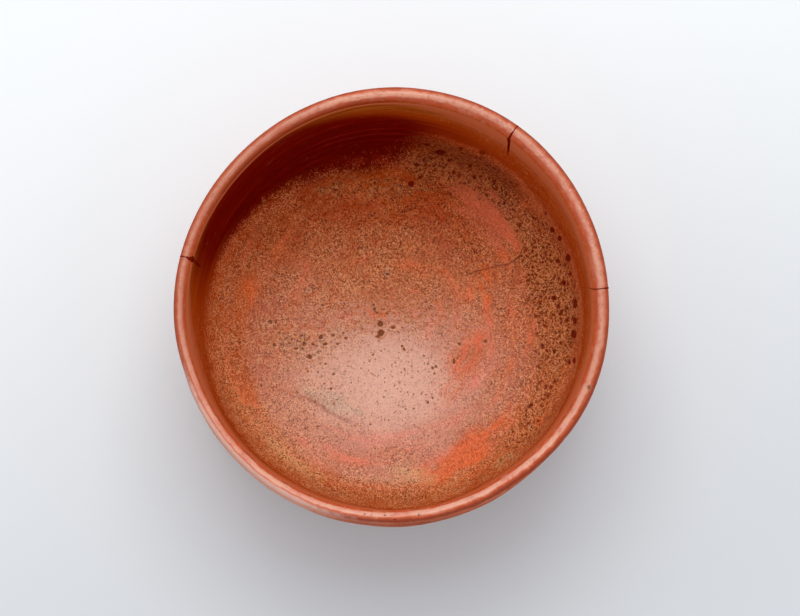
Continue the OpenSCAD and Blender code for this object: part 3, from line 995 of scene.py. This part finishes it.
def inner_look(shader):
    """Colour, roughness, height and dullness of the glaze inside: red under a tan film full of pinholes."""
    times, summed, ranged = shader.times, shader.summed, shader.ranged
    field, mix, lay = shader.field, shader.mix, shader.lay
    warped = shader.wobbled(*INNER_WARP)
    fine = shader.cells(FINE_SPECK)[1]
    medium = shader.cells(MEDIUM_SPECK)[2]
    coarse, mottle, cloud = (shader.noise(*values) for values in INNER_NOISES.values())
    uneven = shader.centred(mottle)
    ragged = shader.centred(coarse)
    speck = summed("speck", fine, medium)
    frayed = summed("frayed", uneven, shader.centred(speck))
    film = ranged("film", field("film"), frayed, field("deep"))
    calm = field("calm")

    def spread(name, source=None, push=None):
        """How fully a tint covers each point."""
        mottled, torn, start, end = TINTS[name][:4]
        parts = [field(source or name)]
        parts += [times(value, weight) for value, weight in ((uneven, mottled), (ragged, torn)) if weight]
        parts += [push] if push is not None else []
        return shader.fade(shader.total(*parts), start, end)

    # The tan film of burst foam over the red glaze, thin in places and there partly painted shade, and the
    # pale pool, partly dried tea and partly a painted highlight
    bare = mix(ranged("cloud", cloud), *BARE_GLAZE)
    tan = mix(ranged("cloud", cloud), *TAN_FILM)
    thin = spread("thin")
    colour = mix(ranged("cover", film, uneven, field("swirl"), thin), bare, tan)
    colour = lay(colour, thin, TINTS["thin"])
    colour = lay(colour, spread("blush"), TINTS["blush"])
    # The pale pool is partly dried tea and partly a painted highlight
    dried = spread("pool")
    colour = lay(colour, dried, TINTS["pool"])

    # Patches where the film is missing or tinted
    blotch = summed("blotch", uneven, times(field("swirl"), ranged("wiped", dried)))
    warm = spread("warm", push=blotch)
    colour = lay(colour, warm, TINTS["warm"])
    rose = spread("rose", push=blotch)
    colour = lay(colour, rose, TINTS["rose"])
    # Haze, and the pale streak on the ridge that is partly a painted highlight
    for name in ("haze", "ash"):
        colour = lay(colour, spread(name), TINTS[name])

    # Froth and scum, dense dark and pale specks, and rarer pinholes
    froth = times(spread("foam"), film, ranged("froth in rose", rose))
    colour = lay(colour, froth, TINTS["foam"])
    scum = spread("scum")
    colour = lay(colour, scum, TINTS["scum"])
    quiet = shader.largest(*shader.weighed("quiet", warm, rose, calm))
    lively = times(film, ranged("in quiet", quiet), ranged("busy", cloud, mottle))
    dark = times(ranged("dark", speck), lively)
    pale = times(ranged("pale", speck), lively, ranged("pale in thin", thin))
    colour = lay(colour, dark, INNER_TINTS["dark speck"])
    colour = lay(colour, pale, (PALE_SPECK_SHARE, mix(thin, *PALE_SPECKS)))
    gap, pick, _ = shader.cells(HOLES, warped)
    pored = ranged("pored", shader.largest(thin, froth, scum))
    hole = times(ranged("hole gap", gap), ranged("hole pick", pick), film, ranged("hole in rose", rose))
    colour = mix(times(hole, pored), colour, HOLE_COLOUR)

    # Froth of larger bubbles: a tan net round red hollows of all sizes
    sunken = 0.0
    for size, thickness, strength in BUBBLES:
        edge = shader.cells(size, warped, "DISTANCE_TO_EDGE")
        _, pick, tone = shader.cells(size, warped)
        there = times(ranged("bubbly", froth), ranged("bubble tone", tone), strength)
        hollow = times(there, shader.fade(edge, *(share * thickness for share in BUBBLE_EDGE)))
        colour = mix(hollow, colour, mix(pick, *HOLLOWS))
        sunken = shader.largest(sunken, hollow)

    # Burst bubbles, pits with painted highlights on their rims, blisters, the painted shadow below the ridge,
    # the hairline, and painted shade at the floor's front edge and under the froth at the back
    burst = spread("burst")
    colour = lay(colour, burst, TINTS["burst"])
    pit = spread("pit")
    colour = lay(colour, times(spread("glint", "pit"), film), TINTS["glint"])
    colour = lay(colour, pit, TINTS["pit"])
    # Pale tops of the blisters as a painted highlight, and a painted shadow below the ridge
    for name in ("blister", "flank"):
        colour = lay(colour, spread(name), TINTS[name])
    line = shader.math("ABSOLUTE", summed("hairline", field("hair"), uneven))
    line = times(ranged("hair width", line), field("hair_on"))
    colour = lay(colour, line, INNER_TINTS["hairline"])
    colour = lay(colour, field("dusk"), INNER_TINTS["dusk"])
    colour = lay(colour, spread("gloom"), TINTS["gloom"])

    # The smooth wall above the film, browner towards the lip, with the wiping marks of a hand
    streak = shader.centred(shader.noise(*STREAK_NOISE, shader.stretched(STREAK_ALONG)))
    brown = mix(ranged("streak", streak), *BROWN_BAND)
    colour = lay(colour, shader.inverse(film), INNER_TINTS["bare wall"])
    colour = lay(colour, field("band"), (BAND_SHARE, brown))
    # The far wall's deepest red, partly the glaze's own colour and partly painted shade
    there = times(ranged("deep", field("deep"), streak, uneven), ranged("deep there", field("deep")))
    deep = times(there, ranged("deep in film", film))
    red = mix(ranged("deep red", streak, uneven), *DEEP_RED)
    colour = lay(colour, deep, (DEEP_SHARE, red))
    rim = ranged("rim", field("rim"), streak)
    colour = lay(colour, rim, INNER_TINTS["rim"])

    roughness = shader.math("SUBTRACT", ranged("film gloss", film), times(calm, CALM_SMOOTH))
    roughness = summed("inner roughness", roughness, ragged, pit, deep)
    height = summed("inner height", times(speck, lively), ragged, hole, sunken, mottle, line)
    matt = shader.largest(*shader.weighed("matt", dark, hole, pit, deep, sunken, burst))
    return colour, roughness, height, matt


# Tints of the lip: start, end, strength, colour, or only the last two
LIP_TINTS = {
    "ruddy patch": (0.5, 0.68, 0.35, (200, 82, 58)),
    "pale patch": (0.48, 0.3, 0.25, (226, 160, 136)),
    "dark blot": (0.52, 0.7, 0.4, (166, 66, 40)),
    "pale blot": (0.46, 0.3, 0.22, (240, 182, 156)),
    # Darker outer edge of the lip, partly painted shade
    "outer edge": (0.66, 0.84, 0.85, (138, 50, 26)),
    "groove": (0.6, (146, 44, 18)),
    "dim": (0.34, (158, 72, 46)),
    # Painted reflection of the table on the outer part of the lip at the front left
    "frost": (0.85, (232, 182, 166)),
    "shade": (0.75, (128, 44, 12)),
    "fleck": (0.25, (240, 200, 176)),
    "dot": (0.6, (120, 52, 34)),
    "dash": (0.7, (104, 28, 8)),
    "chip": (0.8, (70, 32, 20)),
    "olive": (0.85, (96, 78, 40)),
}
# Colours of the lip from its edge to its crest, where the pale is partly worn glaze and partly a painted
# highlight
LIP_WORN = ((198, 86, 48), (222, 160, 136))
CREST_GRAIN = (232, 172, 146)
LIP_SHARE = 0.9


def lip_look(shader, colour):
    """Colour and bumps of the lip: pale along the crest, partly worn and partly a painted highlight, darker
    at its edges, the outer one partly painted shade, with flecks.
    """
    times, summed, ranged = shader.times, shader.summed, shader.ranged
    field, lay, tints = shader.field, shader.lay, LIP_TINTS
    soft, grain, patch, blot = (shader.noise(*values) for values in LIP_NOISES.values())
    soft = shader.centred(soft)
    place = summed("lip place", field("lip_at"), soft)
    crest = times(ranged("crest in", place), ranged("crest out", place))
    worn = shader.mix(crest, *LIP_WORN)
    worn = shader.mix(times(crest, ranged("crest grain", grain)), worn, CREST_GRAIN)
    groove = times(ranged("groove in", place), ranged("groove out", place), ranged("groove", soft))
    worn = lay(worn, groove, tints["groove"])
    worn = shader.wash(worn, patch, tints["ruddy patch"])
    worn = shader.wash(worn, patch, tints["pale patch"])
    worn = shader.wash(worn, blot, tints["dark blot"])
    worn = shader.wash(worn, blot, tints["pale blot"])
    # The darker outer edge is partly painted shade
    worn = shader.wash(worn, place, tints["outer edge"])
    worn = lay(worn, field("dim"), tints["dim"])
    colour = lay(colour, field("lip"), (LIP_SHARE, worn))
    # Painted reflection of the table along the outer part of the lip at the front left
    colour = lay(colour, ranged("frost", field("frost"), soft), tints["frost"])
    colour = lay(colour, field("shade"), tints["shade"])
    gap, pick, _ = shader.cells(FLECKS, shader.wobbled(*FLECK_WARP))
    for name in ("fleck", "dot"):
        there = times(ranged(name + " gap", gap), ranged(name + " pick", pick), field("fleck"))
        colour = lay(colour, there, tints[name])
    colour = lay(colour, times(ranged("dash", soft, grain), field("edge")), tints["dash"])
    for name in ("chip", "olive"):
        colour = lay(colour, ranged(name, field(name), soft), tints[name])
    return colour, times(summed("lip bumps", blot, grain), field("lip"))


# The gloss inside lies in a smooth coat, full on the worn floor and the lip and thin on the film and wall
POOL_GLOSS = 0.62
WARM_GLOSS = 0.15 * POOL_GLOSS
WARM_EDGE = (0.1, 0.8)
LIP_GLOSS = 0.22
WALL_GLOSS = 0.06
UNDER_COAT_SPECULAR = 0.0
GLAZE_RELIEF = 0.1


def glaze_inside_material():
    shader = Shader("glaze_inside")
    times, total, field = shader.times, shader.total, shader.field
    colour, roughness, height, matt = inner_look(shader)
    outer_colour, outer_roughness, outer_height, outer_gloss = outer_look(shader)
    outer = field("outer")
    colour, bumps = lip_look(shader, shader.mix(outer, colour, outer_colour))
    roughness = shader.blend(outer, roughness, outer_roughness)
    height = total(shader.blend(outer, height, outer_height), bumps)
    pool = times(field("calm"), shader.fade(field("warm"), *WARM_EDGE, POOL_GLOSS, WARM_GLOSS))
    pool = times(pool, shader.inverse(matt))
    gloss = total(pool, times(field("lip"), LIP_GLOSS), times(shader.inverse(matt), WALL_GLOSS))
    gloss = shader.blend(outer, gloss, outer_gloss)
    return shader.coat(gloss).finish(colour, roughness, height, GLAZE_RELIEF, UNDER_COAT_SPECULAR)


def glaze_outside_material():
    shader = Shader("glaze_outside")
    colour, roughness, height, gloss = outer_look(shader)
    return shader.coat(gloss).finish(colour, roughness, height, GLAZE_RELIEF, UNDER_COAT_SPECULAR)


# Tints of the bare clay: start, end, strength, colour, or only the last two
CLAY_TINTS = {
    "mottle": (0.52, 0.7, 0.6, (132, 76, 52)),
    "grain": (0.5, 0.75, 0.7, (118, 64, 42)),
    "flashed": (0.7, (166, 80, 48)),
    "sand": (0.55, (214, 176, 142)),
    "pit": (0.6, (84, 44, 30)),
}
CLAY_COLOURS = ((164, 96, 66), (194, 128, 94))
CLAY_RELIEF = 0.22
# The ring is flashed by the fire along its edges: how far these wander, and how wide they are
FLASH_WANDER = 4
OUTER_FLASH = 2.5
INNER_FLASH = (1.5, -0.5)


def clay_material():
    """Bare red clay with pale and dark grains of sand."""
    shader = Shader("clay")
    times, total, ranged, fade = shader.times, shader.total, shader.ranged, shader.fade
    grain, cloud, mottle = (shader.noise(*values) for values in CLAY_NOISES.values())
    x, y, _ = shader.axes()
    flat = shader.node("CombineXYZ", {0: x, 1: y}).outputs[0]
    away = shader.node("VectorMath", {0: flat}, operation="LENGTH").outputs["Value"]
    colour = shader.mix(ranged("clay cloud", cloud), *CLAY_COLOURS)
    edge = total(away, times(shader.centred(mottle), FLASH_WANDER * MM))
    outer = fade(edge, (FOOT_R - OUTER_FLASH) * MM, FOOT_R * MM)
    inner = fade(edge, *((RING_R + offset) * MM for offset in INNER_FLASH))
    colour = shader.lay(colour, shader.largest(outer, inner), CLAY_TINTS["flashed"])
    colour = shader.wash(colour, mottle, CLAY_TINTS["mottle"])
    colour = shader.wash(colour, grain, CLAY_TINTS["grain"])
    gap, pick, tone = shader.cells(SAND, shader.wobbled(*SAND_WARP))
    sand = times(ranged("sand gap", gap), ranged("sand pick", pick))
    colour = shader.lay(colour, sand, CLAY_TINTS["sand"])
    pit = times(ranged("clay pit gap", gap), ranged("clay pit pick", tone))
    colour = shader.lay(colour, pit, CLAY_TINTS["pit"])
    height = shader.summed("clay height", grain, sand, pit, mottle)
    return shader.finish(colour, ranged("clay roughness", grain), height, CLAY_RELIEF)


LACQUER_COLOURS = ((88, 8, 0), (128, 32, 8))
LACQUER_RELIEF = 0.08
LACQUER_SPECULAR = 0.0


def lacquer_material():
    """Dark red-brown lacquer, rubbed down until it is nearly matt."""
    shader = Shader("lacquer")
    grain = shader.noise(*LACQUER_NOISE)
    colour = shader.mix(shader.ranged("lacquer", grain), *LACQUER_COLOURS)
    roughness = shader.ranged("lacquer roughness", grain)
    return shader.finish(colour, roughness, grain, LACQUER_RELIEF, LACQUER_SPECULAR)


# Pieces

# Relief of the surfaces as layers of noise: depth, size, octaves, seed
HAND_RELIEF = [(0.1, 15, 3, 7), (0.03, 4, 2, 8)]
FOAM_RELIEF = [(0.14, 1.7, 1, 9)]
FILM_RELIEF = [(0.04, 1.4, 1, 10)]
FLECK_RELIEF = [(0.08, 1.3, 1, 12)]
OUTER_RELIEF = [(0.16, 18, 3, 5), (0.05, 5, 3, 6)]
PARED_RELIEF = [(0.12, 6, 2, 16)]
LINING_RELIEF = [(0.06, 3, 3, 20)]
# Share of the lip over which the relief of the inside dies out
RELIEF_END = (0.3, 1)
# Rows at the seam and at the foot over which the relief of the outside rises
SEAM_ROWS = 6
FOOT_ROWS = 4
# Fine rings that wiping left below the lip: depth, distance between them, and heights
WIPE_DEPTH = 0.045
WIPE_PITCH = 1.7
WIPE_HEIGHTS = (58, 66, 74, 77)


def make_glaze(angles, sight_place, sight_turn):
    """The glaze as two closed shells that meet on the outside, below the lip."""
    whole = whole_section()
    under = shifted(whole, -GLAZE)
    seam = len(whole) - len(outside_section()) + SEAM_STEPS

    section = whole[:seam + 1]
    grid = placed(section, angles)
    sight = Sight(grid, sight_place, sight_turn)
    spots = grid.reshape(-1, 3)
    share = np.repeat(section[:, 2], len(angles))
    fields, marks = inside_fields(sight, spots, share)
    grid = raised(grid, inside_relief(spots, share, fields) + marks)
    rows = np.concatenate([grid[1:], placed(under[seam:0:-BACK_STRIDE], angles)])
    poles = [(0, 0, grid[0, :, 2].mean()), (0, 0, under[0, 1])]
    fields = {name: values.reshape(grid.shape[:2])[1:] for name, values in fields.items()}
    sharp = (len(grid) - 2, len(grid) - 1)
    inner = turned_mesh("glaze_inside", rows, glaze_inside_material(), poles, fields, sharp)

    section = whole[seam:]
    grid = placed(section, angles)
    spots = grid.reshape(-1, 3)
    relief = layered(spots, OUTER_RELIEF) + layered(spots * PARED_ALONG, PARED_RELIEF)
    steps = np.arange(len(section))
    fixed = fade(steps, 0, SEAM_ROWS) * fade(steps[::-1], 0, FOOT_ROWS)
    grid = raised(grid, relief * np.repeat(fixed, len(angles)))
    rows = np.concatenate([grid, placed(under[:seam - 1:-BACK_STRIDE], angles)])
    outer = turned_mesh("glaze_outside", rows, glaze_outside_material(), sharp_rows=(0, len(grid) - 1))
    for piece in (inner, outer):
        dress(piece, "glaze", "glaze_coat")


def inside_fields(sight, spots, share):
    """What the shader needs to know at each point of the inside, and how far the marks there stand up."""
    height = spots[:, 2]
    angle = np.degrees(np.arctan2(spots[:, 1], spots[:, 0]))
    near = {name: fade(apart(angle, at), none, full) for name, (at, none, full) in SECTORS.items()}
    wall = 1 - fade(share, 0, WALL_END)
    climb = np.maximum(FROTH_CLIMB * near["froth"], BACK_FROTH_CLIMB * near["back froth"])
    film_top = FILM_TOP + climb + layered(spots, FILM_WAVER)
    film = fade(height, film_top + FILM_EDGE + FROTH_SOFT * near["froth"], film_top - FILM_EDGE) * wall
    seen = sight.pixels(spots)
    frayed = FRAY * np.stack([rough(spots, FRAY_SIZE, seed=seed) for seed in FRAY_SEEDS], axis=1)
    streaks = swirled(spots, *STREAKS)
    fields = {
        name: ellipse_field(seen, frayed, part * streaks, patches) * film
        for name, (patches, part) in PATCHES.items()
    }
    fields["foam"] = np.maximum(fields["foam"], band_field(spots, FROTH) * film)
    for name, stretch in STRETCHES.items():
        fields[name] = between(share, *stretch) * near.get(name, 1)
    marks = 0
    for name, (holes, way) in MARKS.items():
        fields[name], depth = hole_fields(sight, spots, holes)
        marks = marks - way * depth
    ridge, ridge_on = line_fields(sight, spots + RIDGE_WANDER * frayed, RIDGE, RIDGE_REACH)
    marks = marks + RIDGE_RISE * ridge_on * between(ridge, *RIDGE_ACROSS)
    fields["hair"], fields["hair_on"] = line_fields(sight, spots, HAIRLINE)
    rim_z = BOWL_H - RIM_DEPTH - RIM_SPREAD * near["rim"] - RIM_FRONT * near["front"]
    dim = near["back"] * (1 + DIM_SIDE * (near["left"] - near["top"]))
    fields.update(
        film=film,
        swirl=swirled(spots, *SWIRL) * film,
        pool=pool_field(seen, frayed) * film,
        flank=ridge_on * between(ridge, *FLANK_ACROSS),
        band=fade(height, BOWL_H - BAND_DEPTH - BAND_SOFT, BOWL_H - BAND_DEPTH + BAND_SOFT) * wall,
        deep=deep_field(seen) * wall,
        rim=fade(height, rim_z, LIP_Z) * wall,
        lip_at=share + LIP_SHIFT * near["front"] * fade(share, 0, LIP_SHIFT_FULL),
        dim=fade(share, 0, DIM_FULL) * dim,
        dusk=fade(np.hypot(*(seen - RIM_PIXEL).T), *DUSK_EDGE) * near["front"] * film,
        gloom=near["back froth"] * between(height, *GLOOM) * film,
        outer=fade(share, *OUTER_EDGE),
    )
    return fields, marks


def inside_relief(spots, share, fields):
    """How far the glaze inside stands above or below its smooth section."""
    height = spots[:, 2]
    bubbly = fields["foam"] * layered(spots, FOAM_RELIEF) + fields["film"] * layered(spots, FILM_RELIEF)
    rings = WIPE_DEPTH * sin(360 * height / WIPE_PITCH) * between(height, *WIPE_HEIGHTS)
    inner = (1 - fade(share, *RELIEF_END)) * (layered(spots, HAND_RELIEF) + bubbly + rings)
    return inner + fields["fleck"] * layered(spots, FLECK_RELIEF)


# How deep the standing ring is worn and where, and the spiral in the foot's hollow: depth, distance between
# its turns, how these wander, and how far from the middle and from the hollow's edge it starts and is full
RING_WEAR = 0.2
RING_WORN = [(1, 5, 3, 17), (0.5, 1.6, 2, 18)]
SPIRAL_DEPTH = 0.22
SPIRAL_PITCH = 3.6
SPIRAL_WANDER = [(0.1, 6, 2, 19)]
SPIRAL_ACROSS = (0.5, 3, HOLLOW_R - 4, HOLLOW_R)
LINING_ROUGH_FROM = HOLLOW_R - 2


def make_clay(angles):
    """The clay under the glaze, with its bare band and standing ring."""
    top = shifted(whole_section(), -GLAZE)[::SOLE_STRIDE]
    nick = FOOT_BEVEL / 4
    outer = [[FOOT_R, BARE], [FOOT_R, (BARE + FOOT_BEVEL) / 2], [FOOT_R, FOOT_BEVEL], [FOOT_R - nick, nick]]
    sole = [[r, 0] for r in np.linspace(FOOT_R - FOOT_BEVEL, RING_R, RING_STEPS + 1)]
    inner = [[RING_R - FOOT_BEVEL + nick, nick], [RING_R - FOOT_BEVEL, FOOT_BEVEL]]
    section = np.vstack([top[1:], with_share(outer + sole + inner, 1), lining_section()[:-1]])
    grid = placed(section, angles)
    low = fade(grid[:, :, 2], BARE, BARE / 2) * (section[:, 0, None] > RING_R - FOOT_BEVEL)
    grid[:, :, 2] += RING_WEAR * low * layered(grid, RING_WORN).clip(0, 1)
    poles = [(0, 0, top[0, 1]), (0, 0, HOLLOW - PEAK)]
    dress(turned_mesh("clay_body_bare", grid, clay_material(), poles), "clay", "clay_body")


def make_foot_glaze(angles):
    """The glaze in the foot's hollow, over the spiral that the carving left."""
    lining = lining_section()
    front = placed(shifted(lining, GLAZE)[:-1], angles)
    away = np.hypot(front[:, :, 0], front[:, :, 1])
    turns = away / SPIRAL_PITCH + np.asarray(angles)[None, :] / 360 + layered(front, SPIRAL_WANDER)
    groove = SPIRAL_DEPTH * cos(360 * turns) * between(away, *SPIRAL_ACROSS)
    front[:, :, 2] += groove + layered(front, LINING_RELIEF) * fade(away, HOLLOW_R, LINING_ROUGH_FROM)
    rows = np.concatenate([front[::-1], placed(lining[:-1], angles)])
    poles = [(0, 0, HOLLOW - PEAK - GLAZE), (0, 0, HOLLOW - PEAK)]
    dress(turned_mesh("foot_glaze_hollow", rows, glaze_outside_material(), poles), "glaze", "foot_glaze")


# Lacquer in the cracks: angle, depth, wander to the side, and widths inside the lip, on its crest and
# outside it
CRACKS = {
    "lacquer_back_right": (54.7, 24, -1.1, (1.5, 0.3, 0.4)),
    "lacquer_left": (167.6, 27, -0.9, (2.3, 0.3, 0.35)),
    "lacquer_right": (3.6, 16, 2.4, (0.3, 0.32, 0.7)),
}
CRACK_SEED = 20
CRACK_TIP_W = 0.12
# How far a crack shakes to the sides and in its width, and the sizes of these noises
CRACK_SHAKE = 0.12
SHAKE_SIZE = 4.1
WIDTH_SHAKE = 0.3
WIDTH_SIZE = 4.3
# Stretches over which a crack narrows: share of its width, start, end as shares of its depth
CRACK_TAPERS = [(0.4, 0.35, 0.05), (0.6, 1, 0.5)]
# Section of the lacquer: shares of its half width to the side, and heights above the glaze
RIBBON = [(-1, -0.5), (-0.9, 0.02), (-0.45, 0.09), (0.45, 0.09), (0.9, 0.02), (1, -0.5)]
# A small turn that shows which way is across the crack
NUDGE = 1e-3


def make_lacquer(name, at, depth, wander, widths, material, seed):
    """A ribbon of lacquer from the crack's tip inside, over the lip, to its tip outside."""
    whole = whole_section()
    wall = whole[(whole[:, 1] > BOWL_H - depth) & (whole[:, 0] > FLOOR_R)]
    down = (BOWL_H - wall[:, 1]) / depth
    steps = np.column_stack([np.arange(len(wall)), np.zeros((len(wall), 2))])
    shake = CRACK_SHAKE * rough(steps, SHAKE_SIZE, 3, seed)
    angles = at + np.degrees((wander * down + shake) / wall[:, 0])
    lip_width = np.interp(wall[:, 2], [0, 0.5, 1], widths)
    taper = sum(share * fade(down, start, end) for share, start, end in CRACK_TAPERS)
    half = (CRACK_TIP_W + (lip_width - CRACK_TIP_W) * taper) / 2
    half = half * (1 + WIDTH_SHAKE * rough(steps, WIDTH_SIZE, 2, seed + 1))
    here, beside = (
        np.array([placed(point[None], [angle + turn])[0, 0] for point, angle in zip(wall, angles)])
        for turn in (0, NUDGE)
    )
    travel = np.gradient(here, axis=0)
    normal = unit(np.cross(travel, beside - here))
    across = unit(np.cross(normal, travel))
    rows = np.stack([here + across * (half * x)[:, None] + normal * y for x, y in RIBBON], axis=1)
    poles = [rows[0].mean(axis=0), rows[-1].mean(axis=0)]
    dress(turned_mesh(name + "_fill", rows, material, poles), "lacquer", name)


# Table and light

# The table is painted palest at the back left and darker towards the front right, as the light falls off.
# Colour at the front right, colour at the back left, the reach between them, and how much further back the
# left side counts
TABLE_COLOURS = ((216, 221, 226), (241, 245, 247))
TABLE_REACH = 0.11
TABLE_SLANT = 0.25
TABLE_ROUGHNESS = 0.6
TABLE_NOISE = (4, 2)
TABLE_RELIEF = 0.01
TABLE_HALF = 3.0


def set_stage():
    shader = Shader("table")
    x, y, _ = shader.axes()
    back = shader.math("SUBTRACT", y, shader.times(x, TABLE_SLANT))
    colour = shader.mix(shader.fade(back, -TABLE_REACH, TABLE_REACH), *TABLE_COLOURS)
    shader.finish(colour, TABLE_ROUGHNESS, shader.noise(*TABLE_NOISE), TABLE_RELIEF)
    mesh = bpy.data.meshes.new("table")
    corners = [(x * TABLE_HALF, y * TABLE_HALF, 0) for x, y in ((-1, -1), (1, -1), (1, 1), (-1, 1))]
    mesh.from_pydata(corners, [], [(0, 1, 2, 3)])
    mesh.materials.append(shader.material)
    table = bpy.data.objects.new("table", mesh)
    bpy.context.scene.collection.objects.link(table)


# The room's walls shine on the bowl, brighter behind it than in front, and the ceiling is dim but for a
# softbox
KEY_WATTS = 2.15
KEY_SIZE = 0.4
KEY_PLACE = (-0.012, 0.225, 0.67)
ROOM_COLOUR = (0.97, 0.985, 1, 1)
ROOM_FRONT = 0.88
ROOM_BACK = 1.08
CEILING_SHARE = 0.2
CEILING_EDGE = (0.72, 0.92)
BACKDROP = 0.88


def set_light():
    scene = bpy.context.scene
    scene.view_settings.view_transform = "Standard"
    key = bpy.data.lights.new("softbox", "AREA")
    key.energy = KEY_WATTS
    key.size = KEY_SIZE
    lamp = bpy.data.objects.new("softbox", key)
    lamp.location = KEY_PLACE
    lamp.rotation_euler = lamp.location.to_track_quat("Z", "Y").to_euler()
    scene.collection.objects.link(lamp)
    scene.world = bpy.data.worlds.new("room")
    scene.world.use_nodes = True
    room = Nodes(scene.world.node_tree)
    _, y, z = room.node("SeparateXYZ", {0: room.node("TexCoord").outputs["Generated"]}).outputs
    ends = {"From Min": -1, "From Max": 1, "To Min": ROOM_FRONT, "To Max": ROOM_BACK}
    walls = room.node("MapRange", {"Value": y, **ends}).outputs["Result"]
    glow = room.times(walls, room.fade(z, *CEILING_EDGE, 1, CEILING_SHARE))
    seen = room.node("LightPath").outputs["Is Camera Ray"]
    sky = room.tree.nodes["Background"]
    sky.inputs["Color"].default_value = ROOM_COLOUR
    room.feed(sky.inputs["Strength"], room.blend(seen, glow, BACKDROP))


camera_place, camera_turn = set_camera()
ring_angles = np.arange(STATIONS) * 360 / STATIONS
make_glaze(ring_angles, camera_place, camera_turn)
make_clay(ring_angles[::2])
make_foot_glaze(ring_angles[::2])
lacquer = lacquer_material()
for order, (crack_name, crack) in enumerate(CRACKS.items()):
    make_lacquer(crack_name, *crack, lacquer, CRACK_SEED + 2 * order)
set_stage()
set_light()
